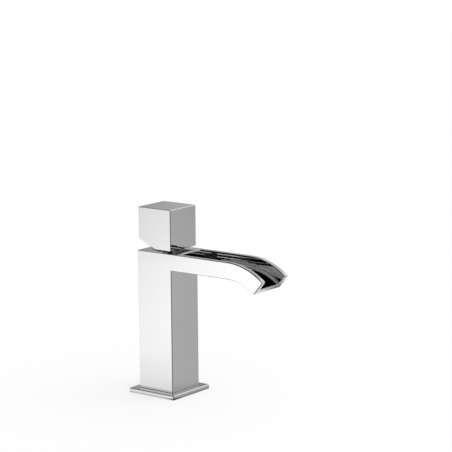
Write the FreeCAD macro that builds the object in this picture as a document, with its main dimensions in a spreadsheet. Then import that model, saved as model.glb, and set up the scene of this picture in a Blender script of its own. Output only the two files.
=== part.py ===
import FreeCAD
import Part
import Sketcher
import math
import os
import re

# Basin mixer: a square column with an open, bent spout, a square base and a cube handle.
# Millimetres. The spout points to -Y, the handle is on top, and the origin is on the column's
# axis, on the surface that the base stands on.

SIZES = {
    # Column
    "column_width": 37.0,
    "column_wall": 3.5,
    "column_bevel": 0.5,
    "deck_height": 126.2,
    # Base plate and foot
    "base_overhang": 6.5,
    "base_height": 3.8,
    "base_bevel": 0.7,
    "foot_step": 1.5,
    "foot_clearance": 0.2,
    "gasket_width": 3.0,
    "gasket_height": 2.0,
    "gasket_margin": 3.0,
    # Fixing bars with the stud holes
    "stud_bar_depth": 9.0,
    "stud_bar_height": 25.0,
    "stud_hole_diameter": 5.0,
    "stud_hole_depth": 20.0,
    "stud_spacing": 21.0,
    # Spout
    "spout_straight": 78.5,
    "spout_depth": 14.4,
    "bend_radius": 57.8,
    "bend_angle": 39.5,
    "rim_wall": 4.7,
    "rim_round": 0.6,
    "end_round": 0.8,
    "channel_depth": 9.6,
    "channel_round": 2.0,
    "deck_reach": 25.5,
    # Water outlet at the head of the channel
    "throat_width": 20.0,
    "throat_height": 4.2,
    "throat_rise": 5.2,
    "straightener_depth": 3.0,
    "straightener_inset": 0.6,
    "straightener_clearance": 0.1,
    "straightener_slot": 1.4,
    "straightener_pitch": 2.4,
    # Inlets and valve seat
    "bore_gap": 1.5,
    "seat_floor": 14.0,
    "inlet_diameter": 9.0,
    "inlet_depth": 10.0,
    "inlet_spacing": 13.0,
    "peg_diameter": 3.0,
    "peg_height": 2.5,
    "peg_edge": 1.4,
    "peg_clearance": 0.1,
    # Cartridge, from the seat upwards
    "cartridge_diameter": 25.0,
    "cartridge_base_height": 5.5,
    "outlet_window_floor": 1.5,
    "seal_height": 1.4,
    "fixed_disc_gap": 0.3,
    "fixed_disc_height": 3.2,
    "disc_film": 0.05,
    "moving_disc_gap": 0.97,
    "moving_disc_height": 3.0,
    "pocket_depth": 1.5,
    "carrier_inset": 0.2,
    "carrier_height": 5.0,
    "carrier_floor": 0.6,
    "spindle_rise": 0.3,
    "spindle_flange_gap": 0.4,
    "spindle_flange_height": 3.0,
    "spindle_shoulder": 1.6,
    "slide_ring_height": 0.6,
    "slide_ring_gap": 0.1,
    "running_gap": 0.15,
    "housing_wall": 1.7,
    "housing_height": 26.3,
    "housing_neck_wall": 1.35,
    "housing_neck_height": 5.3,
    "o_ring_height": 2.0,
    "nut_height": 5.5,
    "nut_drop": 0.4,
    "nut_gap": 0.05,
    "nut_neck_gap": 0.3,
    "nut_slot_width": 3.0,
    "nut_slot_depth": 2.0,
    # Lever
    "lever_top": 32.0,
    "lever_arm": 8.0,
    "lever_shoulder": 3.6,
    "pivot_pin_diameter": 3.0,
    "pivot_pin_gap": 0.05,
    "pivot_pin_inset": 0.4,
    "lift_angle": 24.0,
    # Handle
    "handle_width": 35.4,
    "handle_height": 36.0,
    "handle_gap": 2.0,
    "handle_wall": 3.0,
    "handle_top_wall": 4.0,
    "handle_bevel": 0.5,
    "bevel_rise": 8.4,
    "bevel_length": 18.2,
    "bevel_round": 9.0,
    "boss_width": 14.0,
    "boss_lift": 4.0,
    "socket_gap": 0.1,
    "socket_end_gap": 0.5,
    "screw_diameter": 5.0,
    "screw_length": 8.0,
    "screw_height": 14.0,
    "screw_boss_width": 9.0,
    "screw_socket_width": 2.5,
    "screw_socket_depth": 3.0,
    "plug_diameter": 6.4,
    "plug_height": 2.0,
    "plug_gap": 0.05,
    # Every cut runs past the face that it opens by this much
    "overrun": 1.0,
    # Windows of the ceramic discs, as shares of the fixed disc's diameter
    "port_width_share": 0.17,
    "port_length_share": 0.16,
    "port_offset_share": 0.257,
    "outlet_offset_share": 0.28,
    "seal_wall_share": 0.05,
    "pocket_width_share": 0.6,
    "pocket_length_share": 0.114,
    "pocket_stem_share": 0.324,
    # The lever's rod, as a share of the spindle's neck, and its shank and roller, as shares of the rod
    "lever_share": 0.326,
    "shank_share": 0.73,
    "roller_share": 1.0,
}

NUT_SLOTS = 4
FULL_TURN = 360
PAST_END_SHARE = 1.1

# How far two places of one edge may differ in the kernel, in its curves and in its boxes
CURVE_TOLERANCE = 1e-6
BOX_TOLERANCE = 1e-4

# Places and sizes that follow from the sheet
COLUMN_HALF = "(column_width / 2)"
BASE_WIDTH = "(column_width + 2 * base_overhang)"
FOOT_WIDTH = "(column_width - 2 * foot_step)"
HOSE_WIDTH = "(column_width - 2 * column_wall)"
HOSE_SLOT = "(column_width - 2 * column_wall - 2 * stud_bar_depth)"
CHANNEL_WIDTH = "(column_width - 2 * rim_wall)"
CHANNEL_FLOOR = "(deck_height - channel_depth)"
BEND_CENTRE = "(deck_height - bend_radius)"
SEAT = "(deck_height - nut_drop - nut_height - o_ring_height - housing_height)"
BLOCK_UNDER = "({} - seat_floor)".format(SEAT)
BORE = "(cartridge_diameter + 2 * bore_gap)"
CARTRIDGE_RADIUS = "(cartridge_diameter / 2)"
PEG_OFFSET = "({} - peg_edge - peg_diameter / 2)".format(CARTRIDGE_RADIUS)
HOUSING_BORE = "(cartridge_diameter - 2 * housing_wall)"
FIXED_DISC = "({} - 2 * fixed_disc_gap)".format(HOUSING_BORE)
PORT_WIDTH = "({} * port_width_share)".format(FIXED_DISC)
PORT_LENGTH = "({} * port_length_share)".format(FIXED_DISC)
PORT_OFFSET = "({} * port_offset_share)".format(FIXED_DISC)
OUTLET_OFFSET = "({} * outlet_offset_share)".format(FIXED_DISC)
SEAL_WALL = "({} * seal_wall_share)".format(FIXED_DISC)
LEVER_TRAVEL = "(lever_arm * sin(lift_angle))"
SLIDE_HALF = "({} / 2)".format(LEVER_TRAVEL)
MOVING_DISC = "({} - {} - 2 * moving_disc_gap)".format(HOUSING_BORE, LEVER_TRAVEL)
CARRIER = "({} - 2 * carrier_inset)".format(MOVING_DISC)
SPINDLE_FLANGE = "({} - 2 * spindle_flange_gap)".format(HOUSING_BORE)
SPINDLE_NECK = "({} - 2 * spindle_shoulder)".format(HOUSING_BORE)
NECK_BORE = "({} + 2 * running_gap)".format(SPINDLE_NECK)
HOUSING_NECK = "({} + 2 * housing_neck_wall)".format(NECK_BORE)
FIXED_DISC_FOOT = "({} + cartridge_base_height)".format(SEAT)
MOVING_DISC_FOOT = "({} + fixed_disc_height + disc_film)".format(FIXED_DISC_FOOT)
CARRIER_FOOT = "({} + moving_disc_height)".format(MOVING_DISC_FOOT)
SPINDLE_FOOT = "({} + carrier_height + spindle_rise)".format(CARRIER_FOOT)
SLIDE_RING_FOOT = "({} + spindle_flange_height)".format(SPINDLE_FOOT)
HOUSING_SHOULDER = "({} + slide_ring_height + slide_ring_gap - {})".format(SLIDE_RING_FOOT, FIXED_DISC_FOOT)
HOUSING_TOP = "(housing_height - cartridge_base_height)"
O_RING_FOOT = "({} + housing_height)".format(SEAT)
LEVER_WIDTH = "({} * lever_share)".format(SPINDLE_NECK)
ROLLER = "({} * roller_share)".format(LEVER_WIDTH)
ROLLER_RADIUS = "({} / 2)".format(ROLLER)
PIVOT = "({} + carrier_floor + running_gap + {} + lever_arm)".format(CARRIER_FOOT, ROLLER_RADIUS)
SPINDLE_TOP = "({} + housing_neck_height - {})".format(O_RING_FOOT, PIVOT)
PIN_LENGTH = "({} - 2 * pivot_pin_inset)".format(SPINDLE_NECK)
SLOT_WIDTH = "({} + 2 * running_gap)".format(LEVER_WIDTH)
LOWER_REACH = "({} + {} + 2 * running_gap)".format(ROLLER_RADIUS, LEVER_TRAVEL)
UPPER_REACH = "({} / 2 / cos(lift_angle) + {} * tan(lift_angle) + 2 * running_gap)".format(LEVER_WIDTH, SPINDLE_TOP)
NEAR_REACH = "({} / 2 + 2 * running_gap)".format(LEVER_WIDTH)
HANDLE_FOOT = "(deck_height + handle_gap)"
HANDLE_HALF = "(handle_width / 2)"
BEVEL_END = "(handle_width / 2 - bevel_length)"
SOCKET_TOP = "({} + lever_top + socket_end_gap - {})".format(PIVOT, HANDLE_FOOT)

doc = FreeCAD.newDocument("basin_mixer")
sheet = doc.addObject("Spreadsheet::Sheet", "sizes")
for row, (alias, size) in enumerate(SIZES.items(), start=1):
    cell = "B{}".format(row)
    sheet.set("A{}".format(row), alias)
    sheet.set(cell, str(size))
    sheet.setAlias(cell, alias)
doc.recompute()

ALIAS = re.compile(r"\b(" + "|".join(SIZES) + r")\b")
nodes = []


def on_sheet(expression):
    """The expression with each size read from the sheet."""
    return ALIAS.sub(r"sizes.\1", expression)


def value(expression):
    """What an expression of sizes comes to."""
    return float(sheet.evalExpression(expression))


def node(item, label, **place):
    """Names a finished piece and puts it in its place."""
    item.Label = label
    for axis, expression in place.items():
        item.setExpression("Placement.Base." + axis, on_sheet(expression))
    nodes.append(item)


def solid(kind, name, place, **sizes):
    """One primitive with its sizes and place bound to the sheet."""
    item = doc.addObject(kind, name)
    for size, expression in sizes.items():
        item.setExpression(size, on_sheet(expression))
    for axis, expression in zip("xyz", place):
        item.setExpression("Placement.Base." + axis, on_sheet(expression))
    return item


def cylinder(name, diameter, height, x="0", y="0", z="0"):
    """An upright cylinder that stands on the given point."""
    return solid("Part::Cylinder", name, (x, y, z), Radius=diameter + " / 2", Height=height)


def lying_cylinder(name, diameter, length, axis, x="0", y="0", z="0"):
    """A cylinder that runs from the given point along the axis."""
    item = cylinder(name, diameter, length, x, y, z)
    item.Placement.Rotation = FreeCAD.Rotation(FreeCAD.Vector(0, 0, 1), axis)
    return item


def block(name, width, depth, height, x="0", y="0", z="0"):
    """A box that stands on the given point, centred on it."""
    place = ("{} - {} / 2".format(x, width), "{} - {} / 2".format(y, depth), z)
    return solid("Part::Box", name, place, Length=width, Width=depth, Height=height)


def fuse(name, pieces):
    """The pieces joined into one solid."""
    item = doc.addObject("Part::MultiFuse", name)
    item.Shapes = pieces
    item.Refine = True
    return item


def cut(name, base, tools):
    """The base without the tools."""
    item = doc.addObject("Part::Cut", name)
    item.Base = base
    item.Tool = tools[0] if len(tools) == 1 else fuse(name + "_cutters", tools)
    item.Refine = True
    return item


def ring(name, outer, inner, height):
    """A plain ring that stands on the origin."""
    hole = cylinder(name + "_hole", inner, "({} + 2 * overrun)".format(height), z="-overrun")
    return cut(name, cylinder(name + "_blank", outer, height), [hole])


def sketch_on(body, name, role, lift="0"):
    """A sketch on one of the body's own planes, lifted along that plane's normal."""
    sketch = body.newObject("Sketcher::SketchObject", name)
    plane = next(f for f in body.Origin.OriginFeatures if f.Role == role)
    sketch.AttachmentSupport = [(plane, "")]
    sketch.MapMode = "FlatFace"
    sketch.setExpression("AttachmentOffset.Base.z", on_sheet(lift))
    return sketch


def pin_point(sketch, geometry, position, corner):
    """Holds one point of a sketch at a pair of expressions, measured from the sketch's origin."""
    for kind, axis, expression in zip(("DistanceX", "DistanceY"), (-2, -1), corner):
        if expression == "0":
            sketch.addConstraint(Sketcher.Constraint("PointOnObject", geometry, position, axis))
        else:
            rule = Sketcher.Constraint(kind, -1, 1, geometry, position, value(expression))
            index = sketch.addConstraint(rule)
            sketch.setExpression("Constraints[{}]".format(index), on_sheet(expression))


def arc_between(start, stop, radius, turn):
    """The arc under a half circle from start to stop; turn is 1 for counter-clockwise, -1 for clockwise."""
    half = (stop - start) / 2
    side = FreeCAD.Vector(-half.y, half.x, 0).normalize() * turn
    centre = start + half + side * math.sqrt(radius ** 2 - half.Length ** 2)
    first, last = (start, stop) if turn > 0 else (stop, start)
    angles = [math.atan2(p.y - centre.y, p.x - centre.x) for p in (first, last)]
    return Part.ArcOfCircle(Part.Circle(centre, FreeCAD.Vector(0, 0, 1), radius), *angles)


def outline(sketch, corners, arcs=None):
    """Draws a closed outline through corners given as pairs of expressions.

    arcs gives the radius and the turn of each edge that is an arc, by the number of its first corner.
    """
    points = [FreeCAD.Vector(value(u), value(v), 0) for u, v in corners]
    ends = []
    for i, start in enumerate(points):
        stop = points[(i + 1) % len(points)]
        radius, turn = (arcs or {}).get(i, (None, 1))
        if radius is None:
            index = sketch.addGeometry(Part.LineSegment(start, stop))
        else:
            index = sketch.addGeometry(arc_between(start, stop, value(radius), turn))
            rule = sketch.addConstraint(Sketcher.Constraint("Radius", index, value(radius)))
            sketch.setExpression("Constraints[{}]".format(rule), on_sheet(radius))
        ends.append((index, 1, 2) if turn > 0 else (index, 2, 1))
    for i, (index, first, _) in enumerate(ends):
        before, _, last = ends[i - 1]
        sketch.addConstraint(Sketcher.Constraint("Coincident", before, last, index, first))
        pin_point(sketch, index, first, corners[i])


def rectangle(sketch, width, height, x="0", y="0"):
    """Draws a rectangle centred on a point."""
    left, right = ("{} - {} / 2".format(x, width), "{} + {} / 2".format(x, width))
    low, high = ("{} - {} / 2".format(y, height), "{} + {} / 2".format(y, height))
    outline(sketch, [(left, low), (right, low), (right, high), (left, high)])


def circle(sketch, diameter, x="0", y="0"):
    """Draws a circle about a point."""
    centre = FreeCAD.Vector(value(x), value(y), 0)
    shape = Part.Circle(centre, FreeCAD.Vector(0, 0, 1), value(diameter) / 2)
    index = sketch.addGeometry(shape)
    rule = sketch.addConstraint(Sketcher.Constraint("Diameter", index, value(diameter)))
    sketch.setExpression("Constraints[{}]".format(rule), on_sheet(diameter))
    pin_point(sketch, index, 3, (x, y))


def feature(body, kind, sketch, length, midplane=False, reverse=False):
    """A pad or pocket of a sketch; a pocket that cuts nothing, or a pad that adds nothing, is an error."""
    doc.recompute()
    before = body.Shape.Volume if body.Tip else 0.0
    item = body.newObject("PartDesign::" + kind, sketch.Name + "_" + kind.lower())
    item.Profile = sketch
    item.setExpression("Length", on_sheet(length))
    item.Midplane = midplane
    item.Reversed = reverse
    doc.recompute()
    grew = body.Shape.Volume - before
    if grew == 0 or (grew > 0) != (kind == "Pad"):
        raise RuntimeError("{} changed the volume by {}".format(item.Name, grew))
    return item


def dress_edges(body, kind, name, size, chosen):
    """Rounds or bevels the edges of a body that the test picks; kind is Fillet or Chamfer."""
    doc.recompute()
    base = body.Tip
    names = ["Edge{}".format(i) for i, edge in enumerate(base.Shape.Edges, start=1) if chosen(edge)]
    item = body.newObject("PartDesign::" + kind, name)
    item.Base = (base, names)
    item.setExpression({"Fillet": "Radius", "Chamfer": "Size"}[kind], on_sheet(size))
    doc.recompute()


def same(a, b):
    """Two lengths that are equal apart from rounding in the kernel."""
    return math.isclose(a, b, rel_tol=CURVE_TOLERANCE, abs_tol=CURVE_TOLERANCE)


def runs_along(edge, axis):
    """Whether an edge is a straight line along an axis, given as 0, 1 or 2."""
    first, last = edge.firstVertex().Point, edge.lastVertex().Point
    return edge.Curve.TypeId == "Part::GeomLine" and all(same(first[i], last[i]) for i in range(3) if i != axis)


def lies_in(edge, axis, place):
    """Whether an edge lies in a plane across an axis."""
    box = edge.BoundBox
    low, high = ((box.XMin, box.XMax), (box.YMin, box.YMax), (box.ZMin, box.ZMax))[axis]
    return all(math.isclose(end, place, abs_tol=BOX_TOLERANCE) for end in (low, high))


def spout_corners(top, near, end_angle):
    """Corners of a band along the spout from a start near the column to an end angle on the bend.

    top is the pair of depths of the band's upper and lower line below the deck.
    """
    upper, lower = top
    corners = [(near, "deck_height - " + upper), ("-spout_straight", "deck_height - " + upper)]
    for depth in (upper, lower):
        radius = "(bend_radius - {})".format(depth)
        corners.append((
            "-spout_straight - {} * sin({})".format(radius, end_angle),
            "{} + {} * cos({})".format(BEND_CENTRE, radius, end_angle),
        ))
    corners += [("-spout_straight", "deck_height - " + lower), (near, "deck_height - " + lower)]
    return corners


def make_body_casting():
    """Column, foot and open spout in one casting, with the valve bore, water ways and fixing bars."""
    body = doc.addObject("PartDesign::Body", "body_casting_body")
    foot = sketch_on(body, "foot", "XY_Plane")
    rectangle(foot, FOOT_WIDTH, FOOT_WIDTH)
    feature(body, "Pad", foot, "base_height")
    column = sketch_on(body, "column", "XY_Plane", "base_height")
    rectangle(column, "column_width", "column_width")
    feature(body, "Pad", column, "deck_height - base_height")
    spout = sketch_on(body, "spout", "YZ_Plane")
    corners = spout_corners(("0", "spout_depth"), "-" + COLUMN_HALF + " / 2", "bend_angle")
    outline(spout, corners, {1: ("bend_radius", 1), 3: ("(bend_radius - spout_depth)", -1)})
    feature(body, "Pad", spout, "column_width", midplane=True)

    channel = sketch_on(body, "channel", "YZ_Plane")
    past_end = "(bend_angle * {})".format(PAST_END_SHARE)
    corners = spout_corners(("-spout_depth", "channel_depth"), "-deck_reach", past_end)
    outline(channel, corners, {1: ("(bend_radius + spout_depth)", 1), 3: ("(bend_radius - channel_depth)", -1)})
    feature(body, "Pocket", channel, CHANNEL_WIDTH, midplane=True)
    floor = value("bend_radius - channel_depth")
    wall = value(CHANNEL_WIDTH + " / 2")
    floor_height = value(CHANNEL_FLOOR)

    def floor_corner(edge):
        on_wall = lies_in(edge, 0, wall) or lies_in(edge, 0, -wall)
        on_bend = edge.Curve.TypeId == "Part::GeomCircle" and same(edge.Curve.Radius, floor)
        return on_wall and (on_bend or lies_in(edge, 2, floor_height))

    dress_edges(body, "Fillet", "channel_corners", "channel_round", floor_corner)

    top = value("deck_height")
    lip = value("-deck_reach")
    bend = value("bend_radius")
    half = value(COLUMN_HALF)

    def rim_edge(edge):
        on_wall = lies_in(edge, 0, wall) or lies_in(edge, 0, -wall)
        on_bend = edge.Curve.TypeId == "Part::GeomCircle" and same(edge.Curve.Radius, bend)
        return (on_wall and (on_bend or lies_in(edge, 2, top))) or (lies_in(edge, 1, lip) and lies_in(edge, 2, top))

    angle = math.radians(value("bend_angle"))
    centre = FreeCAD.Vector(0, value("-spout_straight"), value(BEND_CENTRE))
    along = FreeCAD.Vector(0, math.cos(angle), math.sin(angle))

    def side_edge(edge):
        return lies_in(edge, 0, half) or lies_in(edge, 0, -half)

    def end_edge(edge):
        places = [v.Point for v in edge.Vertexes] + [edge.CenterOfMass]
        return not side_edge(edge) and all(same((place - centre).dot(along), 0.0) for place in places)

    dress_edges(body, "Fillet", "end_edges", "end_round", end_edge)
    dress_edges(body, "Fillet", "rim_edges", "rim_round", rim_edge)
    foot_top = value("base_height")

    def front_or_rear_edge(edge):
        on_face = lies_in(edge, 1, half) or lies_in(edge, 1, -half)
        return on_face and (lies_in(edge, 2, foot_top) or lies_in(edge, 2, top))

    dress_edges(body, "Chamfer", "column_edges", "column_bevel",
                lambda edge: side_edge(edge) or front_or_rear_edge(edge))

    throat = sketch_on(body, "throat", "YZ_Plane")
    rise = "({} - throat_rise)".format(CHANNEL_FLOOR)
    inner = "-({} / 2 - overrun)".format(BORE)
    outline(throat, [
        ("-deck_reach", CHANNEL_FLOOR), ("-deck_reach", CHANNEL_FLOOR + " + throat_height"),
        (inner, rise + " + throat_height"), (inner, rise),
    ])
    feature(body, "Pocket", throat, "throat_width", midplane=True)

    hoses = sketch_on(body, "hose_space", "XY_Plane", "stud_bar_height")
    rectangle(hoses, HOSE_WIDTH, HOSE_WIDTH)
    feature(body, "Pocket", hoses, BLOCK_UNDER + " - stud_bar_height", reverse=True)
    slot = sketch_on(body, "hose_slot", "XY_Plane")
    rectangle(slot, HOSE_WIDTH, HOSE_SLOT)
    feature(body, "Pocket", slot, "stud_bar_height", reverse=True)
    studs = sketch_on(body, "stud_holes", "XY_Plane")
    for side in ("-", ""):
        circle(studs, "stud_hole_diameter", y=side + "stud_spacing / 2")
    feature(body, "Pocket", studs, "stud_hole_depth", reverse=True)
    inlets = sketch_on(body, "inlets", "XY_Plane", BLOCK_UNDER)
    ports = sketch_on(body, "inlet_ports", "XY_Plane", BLOCK_UNDER)
    for side in ("-", ""):
        circle(inlets, "inlet_diameter", x=side + "inlet_spacing / 2")
        circle(ports, PORT_WIDTH, x=side + PORT_OFFSET)
    feature(body, "Pocket", inlets, "inlet_depth", reverse=True)
    feature(body, "Pocket", ports, "seat_floor + overrun", reverse=True)
    bore = sketch_on(body, "valve_bore", "XY_Plane", "deck_height")
    circle(bore, BORE)
    feature(body, "Pocket", bore, "deck_height - " + SEAT)
    pegs = sketch_on(body, "peg_holes", "XY_Plane", SEAT)
    for side in ("-", ""):
        circle(pegs, "(peg_diameter + 2 * peg_clearance)", y=side + PEG_OFFSET)
    feature(body, "Pocket", pegs, "peg_height + peg_clearance")
    node(body, "body_casting")


def make_base():
    """The square base plate round the foot, and the rubber seal in its underside."""
    body = doc.addObject("PartDesign::Body", "base_flange_body")
    plate = sketch_on(body, "plate", "XY_Plane")
    rectangle(plate, BASE_WIDTH, BASE_WIDTH)
    feature(body, "Pad", plate, "base_height")
    dress_edges(body, "Chamfer", "plate_edges", "base_bevel", lambda edge: not lies_in(edge, 2, 0.0))
    opening = sketch_on(body, "foot_opening", "XY_Plane")
    width = "({} + 2 * foot_clearance)".format(FOOT_WIDTH)
    rectangle(opening, width, width)
    feature(body, "Pocket", opening, "base_height + overrun", reverse=True)
    groove = sketch_on(body, "gasket_groove", "XY_Plane")
    outer = "({} - 2 * gasket_margin)".format(BASE_WIDTH)
    inner = "({} - 2 * gasket_width)".format(outer)
    rectangle(groove, outer, outer)
    rectangle(groove, inner, inner)
    feature(body, "Pocket", groove, "gasket_height", reverse=True)
    node(body, "base_flange")
    hole = block("gasket_hole", inner, inner, "(gasket_height + 2 * overrun)", z="-overrun")
    node(cut("gasket", block("gasket_blank", outer, outer, "gasket_height"), [hole]), "base_gasket")


def make_flow_straightener():
    """The slotted insert in the mouth of the throat, which lays the water flat in the channel."""
    body = doc.addObject("PartDesign::Body", "flow_straightener_body")
    plate = sketch_on(body, "straightener_plate", "YZ_Plane")
    run = "(deck_reach - {} / 2 + overrun)".format(BORE)
    corners = []
    front, rear = "straightener_inset", "(straightener_inset + straightener_depth)"
    for back, upper in ((front, True), (front, False), (rear, False), (rear, True)):
        low = "({} - throat_rise * {} / {} + straightener_clearance)".format(CHANNEL_FLOOR, back, run)
        height = low + " + throat_height - 2 * straightener_clearance" if upper else low
        corners.append(("-deck_reach + " + back, height))
    outline(plate, corners)
    feature(body, "Pad", plate, "throat_width - 2 * straightener_clearance", midplane=True)
    slots = sketch_on(body, "straightener_slots", "XZ_Plane")
    room = value("throat_width - 2 * straightener_pitch")
    count = int(room // value("straightener_pitch"))
    middle = "({} - throat_rise * straightener_inset / {} + throat_height / 2)".format(CHANNEL_FLOOR, run)
    for i in range(count):
        place = "{} * straightener_pitch".format(i - (count - 1) / 2)
        rectangle(slots, "straightener_slot", "(throat_height - 2 * straightener_slot)", place, middle)
    feature(body, "Pocket", slots, "deck_reach + overrun", reverse=True)
    node(body, "flow_straightener")


def window(name, place, depth, wall="0", z="0"):
    """A rectangular window of the discs, or its seal's outline, at one of the three ports."""
    across, along, x, y = {
        "hot": (PORT_WIDTH, PORT_LENGTH, "-" + PORT_OFFSET, "0"),
        "cold": (PORT_WIDTH, PORT_LENGTH, PORT_OFFSET, "0"),
        "outlet": (PORT_LENGTH, PORT_WIDTH, "0", "-" + OUTLET_OFFSET),
    }[place]
    width = "({} + 2 * {})".format(across, wall)
    length = "({} + 2 * {})".format(along, wall)
    return block(name + "_" + place, width, length, depth, x=x, y=y, z=z)


def make_cartridge_base():
    """The plate with the two inlet ports, the outlet window in its side and the two locating pegs."""
    plate = fuse("base_plate", [cylinder("base_disc", "cartridge_diameter", "cartridge_base_height")] + [
        cylinder("base_peg_" + name, "peg_diameter", "(peg_height + overrun)", y=side + PEG_OFFSET, z="-peg_height")
        for name, side in (("front", "-"), ("rear", ""))])
    seat = "(seal_height + overrun)"
    upper = "cartridge_base_height - seal_height"
    tools = []
    for place in ("hot", "cold"):
        tools.append(window("base_port", place, "(cartridge_base_height + 2 * overrun)", z="-overrun"))
        tools.append(window("base_under_seat", place, seat, SEAL_WALL, z="-overrun"))
        tools.append(window("base_upper_seat", place, seat, SEAL_WALL, z=upper))
    tools.append(window("base_port", "outlet", "cartridge_base_height", z="outlet_window_floor"))
    tools.append(window("base_upper_seat", "outlet", seat, SEAL_WALL, z=upper))
    tools.append(block("base_window", PORT_LENGTH, CARTRIDGE_RADIUS, "({} - outlet_window_floor)".format(upper),
                       y="-{} - {} / 2".format(OUTLET_OFFSET, CARTRIDGE_RADIUS), z="outlet_window_floor"))
    node(cut("base_body", plate, tools), "cartridge_base", z=SEAT)


def make_seals():
    """The rubber frames round the ports, below and above the cartridge base."""
    for label, places, foot in (
            ("inlet_seals", ("hot", "cold"), SEAT),
            ("disc_seals", ("hot", "cold", "outlet"), FIXED_DISC_FOOT + " - seal_height")):
        frames = []
        for place in places:
            blank = window(label + "_blank", place, "seal_height", SEAL_WALL)
            hole = window(label + "_hole", place, "(seal_height + 2 * overrun)", z="-overrun")
            frames.append(cut(label + "_" + place, blank, [hole]))
        group = doc.addObject("Part::Compound", label + "_group")
        group.Links = frames
        node(group, label, z=foot)


def make_discs():
    """The fixed ceramic disc with its three ports, and the moving one with the mixing pocket and its carrier."""
    tall = "(fixed_disc_height + 2 * overrun)"
    ports = [window("fixed_port", place, tall, z="-overrun") for place in ("hot", "cold", "outlet")]
    blank = cylinder("fixed_blank", FIXED_DISC, "fixed_disc_height")
    node(cut("fixed", blank, ports), "fixed_disc", z=FIXED_DISC_FOOT)

    deep = "(pocket_depth + overrun)"
    head = "({} * pocket_length_share)".format(FIXED_DISC)
    stem = "({} * pocket_stem_share)".format(FIXED_DISC)
    behind = "({} / 2 + {} / 2 + 2 * running_gap - {})".format(PORT_LENGTH, head, SLIDE_HALF)
    pocket = [
        block("pocket_head", "({} * pocket_width_share)".format(FIXED_DISC), head, deep, y=behind, z="-overrun"),
        block("pocket_stem", PORT_LENGTH, stem, deep, y="{} - {} / 2".format(behind, stem), z="-overrun"),
    ]
    blank = cylinder("moving_blank", MOVING_DISC, "moving_disc_height")
    node(cut("moving", blank, pocket), "moving_disc", y=SLIDE_HALF, z=MOVING_DISC_FOOT)

    socket = block("carrier_socket", SLOT_WIDTH, "({} + 2 * running_gap)".format(ROLLER),
                   "(carrier_height - carrier_floor + overrun)", y="-" + SLIDE_HALF, z="carrier_floor")
    blank = cylinder("carrier_blank", CARRIER, "carrier_height")
    node(cut("carrier", blank, [socket]), "disc_carrier", y=SLIDE_HALF, z=CARRIER_FOOT)


def make_housing():
    """The cup over the discs with its neck, the sealing ring on its shoulder and the nut that holds it down."""
    cup = fuse("housing_blank", [
        cylinder("housing_cup", "cartridge_diameter", HOUSING_TOP),
        cylinder("housing_neck", HOUSING_NECK, "({} + housing_neck_height)".format(HOUSING_TOP)),
    ])
    node(cut("housing", cup, [
        cylinder("housing_bore", HOUSING_BORE, "({} + overrun)".format(HOUSING_SHOULDER), z="-overrun"),
        cylinder("housing_neck_bore", NECK_BORE, "({} + housing_neck_height + overrun)".format(HOUSING_TOP)),
    ]), "cartridge_housing", z=FIXED_DISC_FOOT)

    outer = "({} - 2 * nut_gap)".format(BORE)
    inner = "({} + 2 * nut_neck_gap)".format(HOUSING_NECK)
    node(ring("o_ring", outer, inner, "o_ring_height"), "housing_o_ring", z=O_RING_FOOT)
    nut = ring("nut_ring", outer, inner, "nut_height")
    slots = []
    for i in range(NUT_SLOTS // 2):
        slot = block("nut_slot_{}".format(i), "({} + 2 * overrun)".format(BORE), "nut_slot_width",
                     "(nut_slot_depth + overrun)", z="nut_height - nut_slot_depth")
        turned = doc.addObject("Part::Compound", "nut_slot_turned_{}".format(i))
        turned.Links = [slot]
        turned.Placement.Rotation = FreeCAD.Rotation(FreeCAD.Vector(0, 0, 1), FULL_TURN * i / NUT_SLOTS)
        slots.append(turned)
    node(cut("nut", nut, slots), "retaining_nut", z=O_RING_FOOT + " + o_ring_height")


def make_spindle():
    """The turning piece with the slot that lets the lever tip back, its washer and the cross pin."""
    pivot = "({} - {})".format(PIVOT, SPINDLE_FOOT)
    blank = fuse("spindle_blank", [
        cylinder("spindle_flange", SPINDLE_FLANGE, "spindle_flange_height"),
        cylinder("spindle_neck", SPINDLE_NECK, "({} + {})".format(pivot, SPINDLE_TOP)),
    ])
    lower = block("spindle_lower_slot", SLOT_WIDTH, "({} + {})".format(LOWER_REACH, NEAR_REACH),
                  "({} + lever_shoulder + overrun)".format(pivot), z="-overrun",
                  y="({} - {}) / 2".format(NEAR_REACH, LOWER_REACH))
    upper = block("spindle_upper_slot", SLOT_WIDTH, "({} + {})".format(UPPER_REACH, NEAR_REACH),
                  "({} + lever_shoulder + overrun)".format(SPINDLE_TOP), z=pivot + " - lever_shoulder",
                  y="({} - {}) / 2".format(UPPER_REACH, NEAR_REACH))
    across = FreeCAD.Vector(1, 0, 0)
    hole = lying_cylinder("spindle_pin_hole", "pivot_pin_diameter", "({} + 2 * overrun)".format(SPINDLE_NECK), across,
                          x="-{} / 2 - overrun".format(SPINDLE_NECK), z=pivot)
    node(cut("spindle_body", blank, [lower, upper, hole]), "spindle", z=SPINDLE_FOOT)
    washer = ring("slide_washer", SPINDLE_FLANGE, SPINDLE_NECK, "slide_ring_height")
    node(washer, "slide_ring", z=SLIDE_RING_FOOT)
    pin = lying_cylinder("pin", "pivot_pin_diameter", PIN_LENGTH, across)
    node(pin, "pivot_pin", x="-{} / 2".format(PIN_LENGTH), z=PIVOT)


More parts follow.
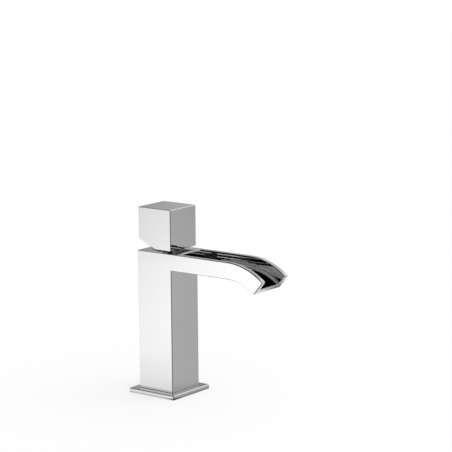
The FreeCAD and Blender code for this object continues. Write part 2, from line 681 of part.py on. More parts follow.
def make_lever():
    """The square rod with the cross hole, the shank and the roller that drives the disc carrier."""
    across = FreeCAD.Vector(1, 0, 0)
    side = "-{} / 2".format(LEVER_WIDTH)
    shank = "({} * shank_share)".format(LEVER_WIDTH)
    rod = fuse("lever_blank", [
        block("lever_rod", LEVER_WIDTH, LEVER_WIDTH, "(lever_top + lever_shoulder)", z="-lever_shoulder"),
        block("lever_shank", shank, shank, "lever_arm", z="-lever_arm"),
        lying_cylinder("lever_roller", ROLLER, LEVER_WIDTH, across, x=side, z="-lever_arm"),
    ])
    hole = lying_cylinder("lever_pin_hole", "(pivot_pin_diameter + 2 * pivot_pin_gap)",
                          "({} + 2 * overrun)".format(LEVER_WIDTH), across, x=side + " - overrun")
    node(cut("lever_rod_drilled", rod, [hole]), "lever", z=PIVOT)


def make_handle():
    """The hollow cube with its slanted rear underside, the lever socket, the set screw and its plug."""
    body = doc.addObject("PartDesign::Body", "cube_handle_body")
    side = sketch_on(body, "cube_side", "YZ_Plane")
    outline(side, [
        ("-" + HANDLE_HALF, "0"), (BEVEL_END, "0"), (HANDLE_HALF, "bevel_rise"),
        (HANDLE_HALF, "handle_height"), ("-" + HANDLE_HALF, "handle_height"),
    ])
    feature(body, "Pad", side, "handle_width", midplane=True)
    bend = value(BEVEL_END)
    dress_edges(body, "Fillet", "bevel_bend", "bevel_round",
                lambda edge: runs_along(edge, 0) and lies_in(edge, 1, bend) and lies_in(edge, 2, 0.0))
    half = value(HANDLE_HALF)
    top = value("handle_height")
    dress_edges(body, "Chamfer", "cube_edges", "handle_bevel", lambda edge: (
        lies_in(edge, 2, top) or lies_in(edge, 0, half) or lies_in(edge, 0, -half)
        or (lies_in(edge, 1, -half) and lies_in(edge, 2, 0.0)) or (lies_in(edge, 1, half) and runs_along(edge, 0))))

    hollow = sketch_on(body, "cube_hollow", "XY_Plane")
    inside = "(handle_width - 2 * handle_wall)"
    rectangle(hollow, inside, inside)
    feature(body, "Pocket", hollow, "handle_height - handle_top_wall", reverse=True)
    boss = sketch_on(body, "lever_boss", "XY_Plane", "boss_lift")
    rectangle(boss, "boss_width", "boss_width")
    feature(body, "Pad", boss, "handle_height - handle_top_wall - boss_lift")
    arm = sketch_on(body, "screw_boss", "XZ_Plane")
    rectangle(arm, "screw_boss_width", "screw_boss_width", y="screw_height")
    feature(body, "Pad", arm, HANDLE_HALF + " - handle_wall", reverse=True)
    socket = sketch_on(body, "lever_socket", "XY_Plane")
    width = "({} + 2 * socket_gap)".format(LEVER_WIDTH)
    rectangle(socket, width, width)
    feature(body, "Pocket", socket, SOCKET_TOP, reverse=True)
    thread = sketch_on(body, "screw_hole", "XZ_Plane")
    circle(thread, "screw_diameter", y="screw_height")
    feature(body, "Pocket", thread, HANDLE_HALF + " + overrun")
    seat = sketch_on(body, "plug_seat", "XZ_Plane", "-({} - plug_height)".format(HANDLE_HALF))
    circle(seat, "(plug_diameter + 2 * plug_gap)", y="screw_height")
    feature(body, "Pocket", seat, "plug_height + overrun")
    node(body, "cube_handle", z=HANDLE_FOOT)

    back = FreeCAD.Vector(0, 1, 0)
    screw = lying_cylinder("screw_blank", "screw_diameter", "screw_length", back)
    key = solid("Part::Prism", "screw_key", ("0", "screw_length - screw_socket_depth", "0"),
                Circumradius="screw_socket_width / sqrt(3)", Height="screw_socket_depth + overrun")
    key.Placement.Rotation = FreeCAD.Rotation(FreeCAD.Vector(0, 0, 1), back)
    height = HANDLE_FOOT + " + screw_height"
    node(cut("screw", screw, [key]), "grub_screw", y=LEVER_WIDTH + " / 2", z=height)
    plug = lying_cylinder("plug", "plug_diameter", "plug_height", back)
    node(plug, "screw_plug", y=HANDLE_HALF + " - plug_height", z=height)


make_body_casting()
make_base()
make_flow_straightener()
make_cartridge_base()
make_seals()
make_discs()
make_housing()
make_spindle()
make_lever()
make_handle()
doc.recompute()

for item in doc.Objects:
    if any(state in ("Invalid", "Error") for state in item.State):
        raise RuntimeError("{} failed: {}".format(item.Name, item.State))
for item in nodes:
    if item.Shape.isNull() or not item.Shape.isValid() or not item.Shape.Solids:
        raise RuntimeError("{} has no valid solid".format(item.Label))

os.makedirs("parts", exist_ok=True)
for item in nodes:
    item.Shape.exportStep(os.path.join("parts", item.Label + ".step"))
    box = item.Shape.optimalBoundingBox(False, False)
    print("{:20s} {:10.1f} mm3  z {:7.2f} to {:7.2f}".format(item.Label, item.Shape.Volume, box.ZMin, box.ZMax))
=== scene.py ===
"""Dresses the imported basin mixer: finishes for its pieces, a pale floor, soft studio light and a camera."""
import math

import bpy
import numpy as np
from bpy.props import FloatProperty, FloatVectorProperty, PointerProperty
from mathutils import Matrix, Vector

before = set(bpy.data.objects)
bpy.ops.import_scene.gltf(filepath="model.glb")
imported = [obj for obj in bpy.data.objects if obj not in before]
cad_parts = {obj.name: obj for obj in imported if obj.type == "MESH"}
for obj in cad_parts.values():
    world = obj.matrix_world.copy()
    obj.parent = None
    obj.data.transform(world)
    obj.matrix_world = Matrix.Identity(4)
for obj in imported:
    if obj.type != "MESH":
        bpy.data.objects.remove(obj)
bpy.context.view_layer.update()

bl_info = {
    "name": "Basin mixer dressing",
    "version": (1, 0, 0),
    "blender": (4, 5, 0),
    "location": "3D View > Sidebar > Mixer",
    "description": "Finishes, floor, light and camera for the packed basin mixer",
    "category": "Object",
}

MM = 0.001
WHITE = (1.0, 1.0, 1.0, 1.0)

# Where the casting is left unplated: the hose space in the column and the bore for the cartridge.
HOSE_SPACE_HALF = 15.1 * MM
HOSE_SPACE_TOP = 78.1 * MM
BORE_RADIUS = 14.06 * MM
BORE_BOTTOM = 91.9 * MM
BORE_TOP = 125.7 * MM

# Where the cube is left as cast: the hollow that goes over the lever.
CUBE_HOLLOW_HALF = 14.8 * MM
CUBE_HOLLOW_TOP = 160.3 * MM

# Most of a noise lies between these values.
NOISE_LOW = 0.3
NOISE_HIGH = 0.7

# How hazy the plating gets at most, as roughness above that of the cleanest plating.
CHROME_HAZE = 0.03

# Scales for patterns that depend on x and y alone, and for streaks along z.
FLAT = (1.0, 1.0, 0.0)
LONG_IN_Z = (1.0, 1.0, 0.03)

# Where a Mix node has its first and second inputs and its result, by the kind of value that it mixes.
MIX_SOCKETS = {"FLOAT": (2, 3, 0), "RGBA": (6, 7, 2)}


class MixerFinishes(bpy.types.PropertyGroup):
    """Colours and surface values of the mixer's finishes."""

    chrome_colour: FloatVectorProperty(
        name="Chrome", description="Mirror colour of the plating", subtype="COLOR",
        default=(0.64, 0.64, 0.645))
    chrome_roughness: FloatProperty(
        name="Chrome roughness", description="Roughness of the cleanest plating", subtype="FACTOR",
        default=0.02)
    chrome_wave: FloatProperty(
        name="Polish wave", description="Height of the slow waves that hand polishing leaves", unit="LENGTH",
        default=0.0000015, precision=7)
    brass_colour: FloatVectorProperty(
        name="Bare brass", description="Colour of unplated brass", subtype="COLOR",
        default=(0.72, 0.51, 0.22))
    nickel_colour: FloatVectorProperty(
        name="Nickel", description="Colour of the nut's plating", subtype="COLOR",
        default=(0.46, 0.44, 0.40))
    zinc_colour: FloatVectorProperty(
        name="Bare zinc", description="Colour of the cube's inside, as cast", subtype="COLOR",
        default=(0.42, 0.43, 0.44))
    steel_colour: FloatVectorProperty(
        name="Steel", description="Colour of pin, lever and set screw", subtype="COLOR",
        default=(0.60, 0.60, 0.59))
    rubber_colour: FloatVectorProperty(
        name="Rubber", description="Colour of gasket and seals", subtype="COLOR",
        default=(0.022, 0.022, 0.024))
    housing_colour: FloatVectorProperty(
        name="White moulding", description="Colour of the cartridge housing", subtype="COLOR",
        default=(0.80, 0.79, 0.76))
    works_colour: FloatVectorProperty(
        name="Grey moulding", description="Colour of cartridge base, spindle and disc carrier", subtype="COLOR",
        default=(0.24, 0.25, 0.27))
    outlet_colour: FloatVectorProperty(
        name="Black moulding", description="Colour of the insert in the water outlet", subtype="COLOR",
        default=(0.025, 0.025, 0.027))
    ceramic_colour: FloatVectorProperty(
        name="Ceramic", description="Colour of the two discs", subtype="COLOR",
        default=(0.86, 0.84, 0.80))


class MixerStage(bpy.types.PropertyGroup):
    """Camera, floor and light."""

    azimuth: FloatProperty(
        name="Azimuth", description="Camera's turn round the mixer, from its front", subtype="ANGLE",
        default=math.radians(-52.64))
    elevation: FloatProperty(
        name="Elevation", description="Camera's height as an angle", subtype="ANGLE",
        default=math.radians(10.415))
    roll: FloatProperty(
        name="Roll", description="Camera's tilt to one side", subtype="ANGLE",
        default=math.radians(-0.4997))
    distance: FloatProperty(
        name="Distance", description="From the camera to its target", unit="LENGTH", default=1.7193)
    target: FloatVectorProperty(
        name="Target", description="Point in the middle of the picture", subtype="TRANSLATION",
        default=(0.03083, -0.04038, 0.14579), precision=5)
    lens: FloatProperty(
        name="Lens", description="Focal length for a sensor 36 mm wide", unit="CAMERA", default=158.47)
    floor_colour: FloatVectorProperty(
        name="Floor", description="Colour of the floor", subtype="COLOR", default=(1.0, 1.0, 1.0))
    shadow: FloatProperty(
        name="Shadow", description="How much of the mixer's shadow shows on the floor", subtype="FACTOR",
        default=0.33)
    soft_light: FloatProperty(
        name="Soft light", description="Level of the even light from all round", default=1.0)


def add(tree, kind, inputs=None, **settings):
    """Adds a node. An input is a plain value, or the output of another node, which is linked to it."""
    made = tree.nodes.new(kind)
    for name, setting in settings.items():
        setattr(made, name, setting)
    for key, source in (inputs or {}).items():
        if isinstance(source, bpy.types.NodeSocket):
            tree.links.new(source, made.inputs[key])
        else:
            made.inputs[key].default_value = source
    return made


def empty_tree(owner):
    """The node tree of a material or a world, with no nodes left in it."""
    owner.use_nodes = True
    owner.node_tree.nodes.clear()
    return owner.node_tree


def calc(tree, operation, first, second=0.0):
    """One sum of a Math node."""
    return add(tree, "ShaderNodeMath", {0: first, 1: second}, operation=operation).outputs[0]


def dot(tree, vector, direction):
    """How far a vector reaches along a direction."""
    return add(tree, "ShaderNodeVectorMath", {0: vector, 1: direction},
               operation="DOT_PRODUCT").outputs["Value"]


def split(tree, place):
    """The X, Y and Z of a place."""
    return add(tree, "ShaderNodeSeparateXYZ", {"Vector": place}).outputs


def scaled(tree, place, scale):
    """A place with its x, y and z scaled."""
    return add(tree, "ShaderNodeMapping", {"Vector": place, "Scale": scale}).outputs["Vector"]


def square_reach(tree, place):
    """The larger of |x| and |y|."""
    parts = split(tree, place)
    return calc(tree, "MAXIMUM", calc(tree, "ABSOLUTE", parts["X"]), calc(tree, "ABSOLUTE", parts["Y"]))


def spread(tree, value, start, end, low, high, smooth=False):
    """Maps start..end to low..high and holds it outside."""
    return add(tree, "ShaderNodeMapRange",
               {"Value": value, "From Min": start, "From Max": end, "To Min": low, "To Max": high},
               interpolation_type="SMOOTHSTEP" if smooth else "LINEAR").outputs["Result"]


def mix(tree, kind, share, first, second):
    """Two numbers or two colours mixed, by the second one's share."""
    one, other, result = MIX_SOCKETS[kind]
    return add(tree, "ShaderNodeMix", {"Factor": share, one: first, other: second},
               data_type=kind).outputs[result]


def mix_shaders(tree, share, first, second):
    """Two shaders mixed, by the second one's share."""
    return add(tree, "ShaderNodeMixShader", {0: share, 1: first, 2: second}).outputs["Shader"]


def noise(tree, place, grains, detail=2.0):
    """Noise with the given number of grains in a metre."""
    return add(tree, "ShaderNodeTexNoise",
               {"Vector": place, "Scale": grains, "Detail": detail}).outputs["Fac"]


def ramp(tree, value, stops):
    """A colour ramp through (position, colour) stops."""
    made = add(tree, "ShaderNodeValToRGB", {"Fac": value})
    points = made.color_ramp.elements
    while len(points) < len(stops):
        points.new(1.0)
    for point, (position, colour) in zip(points, stops):
        point.position = position
        point.color = (*colour, 1.0)
    return made.outputs["Color"]


def bump(tree, pattern, height, over=None):
    """A normal that follows a pattern of 0..1, where 1 stands for the height, over another normal."""
    inputs = {"Height": pattern, "Distance": height, "Strength": 1.0}
    if over is not None:
        inputs["Normal"] = over
    return add(tree, "ShaderNodeBump", inputs).outputs["Normal"]


def shade(colour, factor):
    """A colour made darker or lighter."""
    return tuple(min(1.0, part * factor) for part in colour)


def mottled(tree, pattern, colour, darkest, start=NOISE_LOW, end=NOISE_HIGH):
    """A colour that is darkened by a factor where the pattern is low."""
    return ramp(tree, pattern, ((start, shade(colour, darkest)), (end, colour)))


def worn(tree, pattern, first, last, start=NOISE_LOW, end=NOISE_HIGH):
    """A roughness that goes from its first to its last value as the pattern rises."""
    return spread(tree, pattern, start, end, first, last)


def new_finish(name, **values):
    """A material with one Principled shader. Returns the material, its tree, its shader and its Object
    coordinates."""
    material = bpy.data.materials.new(name)
    tree = empty_tree(material)
    shader = add(tree, "ShaderNodeBsdfPrincipled", values)
    add(tree, "ShaderNodeOutputMaterial", {"Surface": shader.outputs["BSDF"]})
    return material, tree, shader, add(tree, "ShaderNodeTexCoord").outputs["Object"]


def plug_in(tree, shader, **sockets):
    """Links outputs to the shader, with underscores for the spaces in the sockets' names."""
    for name, output in sockets.items():
        tree.links.new(output, shader.inputs[name.replace("_", " ")])


def dress(names, material):
    """Puts a finish on CAD nodes."""
    for name in names:
        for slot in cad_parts[name].material_slots:
            slot.material = material


def inside_box(tree, place, half, top):
    """1 where |x| and |y| are under half and z is under top."""
    in_square = calc(tree, "LESS_THAN", square_reach(tree, place), half)
    return calc(tree, "MULTIPLY", in_square, calc(tree, "LESS_THAN", split(tree, place)["Z"], top))


def inside_bore(tree, place, radius, bottom, top):
    """1 within a radius of the z axis, between two heights."""
    reach = add(tree, "ShaderNodeVectorMath", {0: scaled(tree, place, FLAT)},
                operation="LENGTH").outputs["Value"]
    height = split(tree, place)["Z"]
    in_height = calc(tree, "MULTIPLY", calc(tree, "GREATER_THAN", height, bottom),
                     calc(tree, "LESS_THAN", height, top))
    return calc(tree, "MULTIPLY", calc(tree, "LESS_THAN", reach, radius), in_height)


def chrome(name, finishes, bare_colour=None, bare_where=None):
    """Polished plating with a faint haze and slow polishing waves, and the bare metal where bare_where
    gives 1."""
    material, tree, shader, place = new_finish(name, Metallic=1.0)
    clean = finishes.chrome_roughness
    haze = worn(tree, noise(tree, place, grains=55.0, detail=5.0), clean, clean + CHROME_HAZE,
                start=0.35, end=0.75)
    tint = mottled(tree, noise(tree, place, grains=22.0), finishes.chrome_colour, darkest=0.985)
    waves = bump(tree, noise(tree, place, grains=38.0, detail=1.0), height=finishes.chrome_wave)
    if bare_where is None:
        plug_in(tree, shader, Base_Color=tint, Roughness=haze, Normal=waves)
        return material
    bare = bare_where(tree, place)
    grain = noise(tree, place, grains=900.0, detail=4.0)
    plug_in(tree, shader,
            Base_Color=mix(tree, "RGBA", bare, tint, mottled(tree, grain, bare_colour, darkest=0.7)),
            Roughness=mix(tree, "FLOAT", bare, haze, worn(tree, grain, first=0.32, last=0.5)),
            Normal=bump(tree, calc(tree, "MULTIPLY", grain, bare), height=0.06 * MM, over=waves))
    return material


def turned_metal(name, colour):
    """Machined metal: fine rings round the z axis from the tool, with some dulling."""
    material, tree, shader, place = new_finish(name, Metallic=1.0)
    tool = add(tree, "ShaderNodeTexWave",
               {"Vector": scaled(tree, place, FLAT), "Scale": 900.0, "Distortion": 0.4, "Detail": 1.0},
               wave_type="RINGS", rings_direction="SPHERICAL").outputs["Fac"]
    stain = noise(tree, place, grains=160.0, detail=4.0)
    plug_in(tree, shader,
            Base_Color=mottled(tree, stain, colour, darkest=0.75, end=0.65),
            Roughness=worn(tree, stain, first=0.34, last=0.2),
            Normal=bump(tree, tool, height=0.006 * MM))
    return material


def drawn_metal(name, colour):
    """Bright drawn bar: long fine streaks along z."""
    material, tree, shader, place = new_finish(name, Metallic=1.0)
    streaks = noise(tree, scaled(tree, place, LONG_IN_Z), grains=2600.0, detail=3.0)
    plug_in(tree, shader,
            Base_Color=mottled(tree, streaks, colour, darkest=0.8),
            Roughness=worn(tree, streaks, first=0.20, last=0.34),
            Normal=bump(tree, streaks, height=0.008 * MM))
    return material


def moulding(name, colour, roughness):
    """Moulded plastic: fine even grain and slight clouding of the colour."""
    material, tree, shader, place = new_finish(name, IOR=1.49)
    cloud = noise(tree, place, grains=130.0, detail=3.0)
    grain = noise(tree, place, grains=1400.0)
    plug_in(tree, shader,
            Base_Color=mottled(tree, cloud, colour, darkest=0.9),
            Roughness=worn(tree, grain, first=roughness - 0.05, last=roughness + 0.07),
            Normal=bump(tree, grain, height=0.018 * MM))
    return material


def rubber(name, colour):
    """Matt rubber with a paler bloom in patches and a sandy skin."""
    material, tree, shader, place = new_finish(name, IOR=1.52)
    bloom = noise(tree, place, grains=210.0, detail=4.0)
    skin = noise(tree, place, grains=2200.0)
    plug_in(tree, shader,
            Base_Color=ramp(tree, bloom, ((0.35, colour), (0.8, shade(colour, factor=2.2)))),
            Roughness=worn(tree, bloom, first=0.62, last=0.78),
            Normal=bump(tree, skin, height=0.03 * MM))
    return material


def ceramic(name, colour):
    """Lapped ceramic: smooth, with sparse darker specks."""
    material, tree, shader, place = new_finish(name, IOR=1.76)
    specks = noise(tree, place, grains=3200.0)
    plug_in(tree, shader,
            Base_Color=mottled(tree, specks, colour, darkest=0.8, start=0.24, end=0.34),
            Roughness=worn(tree, noise(tree, place, grains=300.0), first=0.12, last=0.2))
    return material


class MIXER_OT_plate_chrome(bpy.types.Operator):
    """Plates the casting, the base plate, the cube and its plug, and leaves their insides bare"""

    bl_idname = "mixer.plate_chrome"
    bl_label = "Plate the outside"

    def execute(self, context):
        finishes = context.scene.mixer_finishes

        def unplated(tree, place):
            return calc(tree, "MAXIMUM", inside_box(tree, place, HOSE_SPACE_HALF, HOSE_SPACE_TOP),
                        inside_bore(tree, place, BORE_RADIUS, BORE_BOTTOM, BORE_TOP))

        def hollow(tree, place):
            return inside_box(tree, place, CUBE_HOLLOW_HALF, CUBE_HOLLOW_TOP)

        dress(["body_casting"], chrome("plated_casting", finishes, finishes.brass_colour, unplated))
        dress(["cube_handle"], chrome("plated_cube", finishes, finishes.zinc_colour, hollow))
        dress(["base_flange", "screw_plug"], chrome("plated_brass", finishes))
        return {"FINISHED"}


class MIXER_OT_finish_cartridge(bpy.types.Operator):
    """Gives the cartridge's mouldings and discs, and the outlet's insert, their finishes"""

    bl_idname = "mixer.finish_cartridge"
    bl_label = "Finish the cartridge"

    def execute(self, context):
        finishes = context.scene.mixer_finishes
        dress(["cartridge_housing", "slide_ring"],
              moulding("white_acetal", finishes.housing_colour, roughness=0.4))
        dress(["cartridge_base", "spindle", "disc_carrier"],
              moulding("grey_acetal", finishes.works_colour, roughness=0.42))
        dress(["flow_straightener"], moulding("black_acetal", finishes.outlet_colour, roughness=0.38))
        dress(["fixed_disc", "moving_disc"], ceramic("lapped_ceramic", finishes.ceramic_colour))
        return {"FINISHED"}


class MIXER_OT_finish_fixings(bpy.types.Operator):
    """Gives the nut, pin, lever, set screw, gasket and seals their finishes"""

    bl_idname = "mixer.finish_fixings"
    bl_label = "Finish nut, pin, screw and seals"

    def execute(self, context):
        finishes = context.scene.mixer_finishes
        dress(["retaining_nut"], turned_metal("turned_nickel", finishes.nickel_colour))
        dress(["lever", "pivot_pin", "grub_screw"], drawn_metal("drawn_steel", finishes.steel_colour))
        dress(["base_gasket", "inlet_seals", "disc_seals", "housing_o_ring"],
              rubber("black_rubber", finishes.rubber_colour))
        return {"FINISHED"}


def even(level):
    """Stops for one level all over a card."""
    return (0.0, level), (1.0, level)


# Light from the studio round the mixer, as polished metal mirrors it: the way to each panel's middle, the
# angles from there at which it starts to fade and ends, and its level. The panels add up over a dark room.
STUDIO_PANELS = (
    ((0.97, 0.0, 0.26), 42.0, 58.0, 0.58),
    ((0.78, -0.20, 0.57), 6.0, 16.0, 0.4),
    ((0.0, 0.95, 0.30), 15.0, 35.0, 0.4),
    ((-0.79, 0.61, 0.0), 14.0, 26.0, 0.9),
    ((-0.79, 0.22, 0.57), 18.0, 27.0, 0.24),
    ((-0.62, 0.57, 0.54), 12.0, 20.0, 0.18),
    ((0.6, -0.59, 0.54), 11.0, 16.0, 1.2),
    ((0.0, 0.0, 1.0), 30.0, 50.0, 0.3),
)
STUDIO_DARK = 0.1

# Narrow black slits in the studio: a direction and the cosines to it between which a slit lies, the same for
# a second direction, which bounds its length, and the width of its soft edge.
STUDIO_SLITS = (
    ((0.881, -0.339, 0.329), (-0.16, -0.075), (0.0, 1.0, 0.0), (-0.4, 0.6)),
    ((0.0, 1.0, 0.0), (0.568, 0.598), (1.0, 0.0, 0.0), (-0.05, 0.64)),
    ((0.0, 1.0, 0.0), (-0.605, -0.57), (1.0, 0.0, 0.0), (-0.05, 0.36)),
)
SLIT_EDGE = 0.012

# The soft light that matt surfaces get is stronger on one side, by a share.
SOFT_LIGHT_WAY = (0.45, -0.89, 0.0)
SOFT_LIGHT_LEAN = 0.8

# The floor as polished metal mirrors it: levels along a line from the column's axis to the left rear, in
# metres, with a dark stripe that the near edges mirror, how it brightens towards the camera, and the shade
# round the square base: where it starts and ends, from the axis, and its level by the base.
FLOOR_LINE = (-0.777, 0.629, 0.0)
FLOOR_LEVELS = (
    (-0.9, 0.52), (-0.5, 0.57), (-0.1, 0.585), (-0.05, 0.57), (-0.03, 0.5), (-0.003, 0.5), (-0.001, 0.03),
    (0.0065, 0.03), (0.009, 1.05), (0.03, 1.05), (0.05, 1.12), (0.07, 1.21), (0.175, 1.39), (0.29, 1.43),
    (0.41, 1.4), (0.563, 1.37), (0.705, 1.28), (0.785, 1.245), (0.9, 1.23), (1.0, 1.2),
)
FLOOR_TO_CAMERA = (-0.607, -0.795, 0.0)
FLOOR_LIFT = ((-0.05, 0.91), (0.12, 1.21))
BASE_SHADE = (0.025, 0.0295, 0.4)
FLOOR_HALF = 3.0
FLOOR_HEIGHT = -0.2 * MM

# Cards that lie under the spout's end: their reach in x and y, their height, and their levels along x.
CARD_BLACK = 0.01
FLAT_CARDS = {
    "white_card": ((-0.004, 0.056), (-0.118, -0.098), 0.088,
                   ((0.0, 0.95), (0.012, 0.95), (0.03, 0.3), (0.038, 0.3), (0.047, 0.9))),
    "black_card": ((-0.034, -0.020), (-0.130, -0.100), 0.085, even(CARD_BLACK)),
}

# Cards that stand round the mixer: the way to each one from the column's axis, how far off it is, its reach
# to the right of that way, its reach in height, and its levels across its width.
UPRIGHT_CARDS = {
    "grey_card": ((0.774, 0.633), 0.3, (-0.25, 0.3), (0.0, 0.29),
                  ((-0.036, 0.36), (-0.011, 0.44), (0.014, 0.5), (0.05, 0.48), (0.145, 0.66))),
    "low_card": ((0.774, 0.633), 0.29, (-0.25, 0.3), (0.0, 0.1),
                 ((-0.02, 0.42), (0.003, 0.49), (0.0275, 0.35), (0.0425, 0.29))),
    "dark_card": ((-0.79, 0.61), 0.25, (-0.27, 0.03), (0.135, 0.215), even(CARD_BLACK)),
}

# The black flags over the channel's two rims, and the thin one that the near rim's outer edge mirrors: their
# x, and at some reaches along the rim, from the start of the bend towards the spout's end, the heights of
# their lower and upper edges above the rim, all in millimetres.
FLAGS = {
    "far_flag": (13.7, (
        (-43.0, -0.7, 0.5), (-35.0, -0.7, 0.5), (-20.0, -0.7, 6.8), (-13.0, -0.7, 9.0), (39.8, -0.7, 9.0))),
    "near_flag": (-13.95, (
        (-20.0, 4.4, 20.0), (0.0, 4.4, 20.0), (8.0, 6.2, 20.0), (16.0, 4.9, 20.0), (26.0, 3.5, 20.0),
        (39.8, 3.5, 20.0))),
    "edge_flag": (13.7, (
        (-23.8, 7.96, 8.4), (-19.7, 10.29, 10.95), (-15.5, 12.36, 13.0), (-11.0, 14.11, 14.75),
        (-6.35, 15.54, 16.2), (-1.55, 16.64, 17.3), (2.6, 17.45, 18.1), (10.3, 18.9, 19.55),
        (18.0, 20.19, 20.85), (25.8, 21.3, 21.95))),
}
FLAG_BLACK = 0.0
FLAG_STEPS = 80

# The bend of the channel's rims in millimetres: y and z of its centre, and its radius.
BEND_CENTRE = (-78.5, 68.4)
BEND_RADIUS = 57.8

# The camera's sensor in millimetres, and the nearest that it sees, in metres.
SENSOR_WIDTH = 36.0
NEAREST_SEEN = 0.01


def levels_along(tree, reach, levels):
    """A level that runs through (reach, level) stops and is held beyond them."""
    first, last = levels[0][0], levels[-1][0]
    share = spread(tree, reach, first, last, 0.0, 1.0)
    return ramp(tree, share, [((stop - first) / (last - first), (level,) * 3) for stop, level in levels])


def in_mirror(tree, path):
    """1 for a ray that comes from a mirror or through something clear."""
    return calc(tree, "MAXIMUM", path["Is Glossy Ray"], path["Is Transmission Ray"])


def mirrored_floor(tree, place):
    """The floor's level in a mirror: bright at the left rear, grey at the right front, dark between and by
    the base."""
    levels = levels_along(tree, dot(tree, place, FLOOR_LINE), FLOOR_LEVELS)
    (start, low), (end, high) = FLOOR_LIFT
    lift = spread(tree, dot(tree, place, FLOOR_TO_CAMERA), start, end, low, high)
    base, clear, level = BASE_SHADE
    shade_by_base = spread(tree, square_reach(tree, place), base, clear, level, 1.0)
    return add(tree, "ShaderNodeVectorMath", {0: levels, "Scale": calc(tree, "MULTIPLY", lift, shade_by_base)},
               operation="SCALE").outputs["Vector"]


def soft_panel(tree, towards, middle, inner, outer, level):
    """A panel's level up to the inner angle from its middle, fading to nothing at the outer angle."""
    near = dot(tree, towards, tuple(Vector(middle).normalized()))
    full, none = math.cos(math.radians(inner)), math.cos(math.radians(outer))
    return spread(tree, near, none, full, 0.0, level, smooth=True)


def between(tree, value, start, end):
    """1 from start to end, and 0 past a soft edge on both sides."""
    return calc(tree, "MULTIPLY", spread(tree, value, start - SLIT_EDGE, start, 0.0, 1.0),
                spread(tree, value, end, end + SLIT_EDGE, 1.0, 0.0))


def mirrored_studio(tree, towards):
    """The studio's level in a mirror: the sum of its soft-edged panels over a dark room, black in its slits."""
    total = STUDIO_DARK
    for panel in STUDIO_PANELS:
        total = calc(tree, "ADD", soft_panel(tree, towards, *panel), total)
    for side, width, way, length in STUDIO_SLITS:
        slit = calc(tree, "MULTIPLY", between(tree, dot(tree, towards, side), *width),
                    between(tree, dot(tree, towards, way), *length))
        total = calc(tree, "MULTIPLY", calc(tree, "SUBTRACT", 1.0, slit), total)
    return total


def make_floor(stage):
    """A flat sheet just under the base, white and shadowed to the eye, with the studio's levels in mirrors."""
    x, y = np.array([-1, 1, 1, -1]) * FLOOR_HALF, np.array([-1, -1, 1, 1]) * FLOOR_HALF
    mesh = bpy.data.meshes.new("floor")
    mesh.from_pydata(np.stack([x, y, np.full_like(x, FLOOR_HEIGHT)], axis=-1).tolist(), [], [(0, 1, 2, 3)])
    floor = bpy.data.objects.new("floor", mesh)
    bpy.context.scene.collection.objects.link(floor)
    material = bpy.data.materials.new("pale_floor")
    tree = empty_tree(material)
    place = add(tree, "ShaderNodeTexCoord").outputs["Object"]
    path = add(tree, "ShaderNodeLightPath").outputs
    shaded = add(tree, "ShaderNodeBsdfDiffuse", {"Color": (*stage.floor_colour, 1.0)}).outputs["BSDF"]
    white = add(tree, "ShaderNodeEmission", {"Color": WHITE}).outputs["Emission"]
    mirrored = add(tree, "ShaderNodeEmission", {"Color": mirrored_floor(tree, place)}).outputs["Emission"]
    shown = mix_shaders(tree, in_mirror(tree, path), mix_shaders(tree, stage.shadow, white, shaded), mirrored)
    from_below = add(tree, "ShaderNodeNewGeometry").outputs["Backfacing"]
    clear = add(tree, "ShaderNodeBsdfTransparent").outputs["BSDF"]
    add(tree, "ShaderNodeOutputMaterial", {"Surface": mix_shaders(tree, from_below, shown, clear)})
    mesh.materials.append(material)


def put_card(name, points, levels, across=(1.0, 0.0, 0.0)):
    """Puts a card on the stage over a grid of points, rows by columns, with its levels along the way across.
    Mirrors see it, and the camera, the light and the shadows don't."""
    rows, columns = points.shape[:2]
    index = np.arange(rows * columns).reshape(rows, columns)
    corners = [index[:-1, :-1], index[:-1, 1:], index[1:, 1:], index[1:, :-1]]
    mesh = bpy.data.meshes.new(name)
    mesh.from_pydata(points.reshape(-1, 3).tolist(), [], np.stack(corners, axis=-1).reshape(-1, 4).tolist())
    material = bpy.data.materials.new(name)
    tree = empty_tree(material)
    reach = dot(tree, add(tree, "ShaderNodeTexCoord").outputs["Object"], across)
    lit = add(tree, "ShaderNodeEmission", {"Color": levels_along(tree, reach, levels)}).outputs["Emission"]
    add(tree, "ShaderNodeOutputMaterial", {"Surface": lit})
    mesh.materials.append(material)
    card = bpy.data.objects.new(name, mesh)
    bpy.context.scene.collection.objects.link(card)
    card.visible_camera = card.visible_diffuse = card.visible_shadow = False


def make_cards():
    """A flat card is a rectangle at a height. An upright card is a distance along its way, plus a step to the
    right of that way, plus a height. A flag is the rim's line, a straight run and then an arc, raised by a
    height that goes from its lower to its upper edge."""
    for name, (across, along, height, levels) in FLAT_CARDS.items():
        x, y = np.meshgrid(across, along)
        put_card(name, np.stack([x, y, np.full_like(x, height)], axis=-1), levels)

    for name, (way, away, reach, heights, levels) in UPRIGHT_CARDS.items():
        to_right = (way[1], -way[0], 0.0)
        step, z = np.meshgrid(reach, heights)
        x, y = away * way[0] + step * to_right[0], away * way[1] + step * to_right[1]
        put_card(name, np.stack([x, y, z], axis=-1), levels, to_right)

    for name, (x, edges) in FLAGS.items():
        places, lower, upper = zip(*edges)
        reach = np.linspace(places[0], places[-1], FLAG_STEPS)
        heights = np.stack([np.interp(reach, places, lower), np.interp(reach, places, upper)], axis=-1)
        turn = np.maximum(reach, 0.0)[:, None] / BEND_RADIUS
        behind = np.maximum(-reach, 0.0)[:, None]
        radius = BEND_RADIUS + heights
        points = np.stack([np.full_like(radius, x), BEND_CENTRE[0] - radius * np.sin(turn) + behind,
                           BEND_CENTRE[1] + radius * np.cos(turn)], axis=-1)
        put_card(name, points * MM, even(FLAG_BLACK))


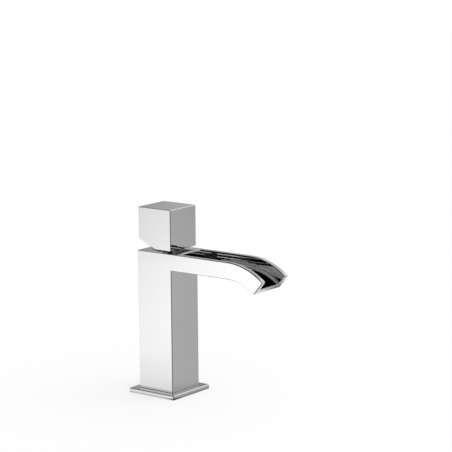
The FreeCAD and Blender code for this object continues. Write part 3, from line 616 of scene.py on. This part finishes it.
def make_world(stage):
    """White behind the mixer, even soft light on it, and the studio's panels in its polished faces."""
    world = bpy.data.worlds.new("studio")
    tree = empty_tree(world)
    towards = add(tree, "ShaderNodeTexCoord").outputs["Generated"]
    path = add(tree, "ShaderNodeLightPath").outputs
    lean = spread(tree, dot(tree, towards, SOFT_LIGHT_WAY), -1.0, 1.0,
                  1.0 - SOFT_LIGHT_LEAN, 1.0 + SOFT_LIGHT_LEAN)

    def sky(colour, strength=1.0):
        return add(tree, "ShaderNodeBackground", {"Color": colour, "Strength": strength}).outputs["Background"]

    lit = mix_shaders(tree, in_mirror(tree, path), sky(lean, stage.soft_light),
                      sky(mirrored_studio(tree, towards)))
    add(tree, "ShaderNodeOutputWorld", {"Surface": mix_shaders(tree, path["Is Camera Ray"], lit, sky(WHITE))})
    bpy.context.scene.world = world


def make_camera(stage):
    """A camera on the line back from its target, at the azimuth and elevation, then rolled about that line."""
    turn, rise, roll = stage.azimuth, stage.elevation, stage.roll
    back = Vector((math.sin(turn) * math.cos(rise), -math.cos(turn) * math.cos(rise), math.sin(rise)))
    right = Vector((math.cos(turn), math.sin(turn), 0.0))
    up = back.cross(right)
    rolled_right = math.cos(roll) * right + math.sin(roll) * up
    rolled_up = math.cos(roll) * up - math.sin(roll) * right
    data = bpy.data.cameras.new("camera")
    data.sensor_width = SENSOR_WIDTH
    data.lens = stage.lens
    data.clip_start = NEAREST_SEEN
    camera = bpy.data.objects.new("camera", data)
    camera.matrix_world = Matrix((rolled_right, rolled_up, back)).transposed().to_4x4()
    camera.location = Vector(stage.target) + back * stage.distance
    bpy.context.scene.collection.objects.link(camera)
    bpy.context.scene.camera = camera


class MIXER_OT_set_stage(bpy.types.Operator):
    """Makes the floor, the cards, the studio light and the camera"""

    bl_idname = "mixer.set_stage"
    bl_label = "Set the stage"

    def execute(self, context):
        stage = context.scene.mixer_stage
        make_floor(stage)
        make_cards()
        make_world(stage)
        make_camera(stage)
        context.scene.view_settings.view_transform = "Standard"
        return {"FINISHED"}


class MIXER_PT_panel(bpy.types.Panel):
    """Lists the steps and the values that they use"""

    bl_idname = "MIXER_PT_panel"
    bl_label = "Basin mixer"
    bl_space_type = "VIEW_3D"
    bl_region_type = "UI"
    bl_category = "Mixer"

    def draw(self, context):
        for step in STEPS:
            self.layout.operator(step.bl_idname)
        for group in (context.scene.mixer_finishes, context.scene.mixer_stage):
            for name in group.__annotations__:
                self.layout.prop(group, name)


GROUPS = (MixerFinishes, MixerStage)
STEPS = (MIXER_OT_plate_chrome, MIXER_OT_finish_cartridge, MIXER_OT_finish_fixings, MIXER_OT_set_stage)


def register():
    """Registers the groups, the steps and the panel, and gives the scene its values."""
    for made in (*GROUPS, *STEPS, MIXER_PT_panel):
        bpy.utils.register_class(made)
    bpy.types.Scene.mixer_finishes = PointerProperty(type=MixerFinishes)
    bpy.types.Scene.mixer_stage = PointerProperty(type=MixerStage)


def unregister():
    """Takes back what register does, in reverse."""
    del bpy.types.Scene.mixer_stage
    del bpy.types.Scene.mixer_finishes
    for made in (MIXER_PT_panel, *reversed(STEPS), *reversed(GROUPS)):
        bpy.utils.unregister_class(made)


def main():
    """Runs the steps in order."""
    register()
    bpy.ops.mixer.plate_chrome()
    bpy.ops.mixer.finish_cartridge()
    bpy.ops.mixer.finish_fixings()
    bpy.ops.mixer.set_stage()


if __name__ == "__main__":
    main()
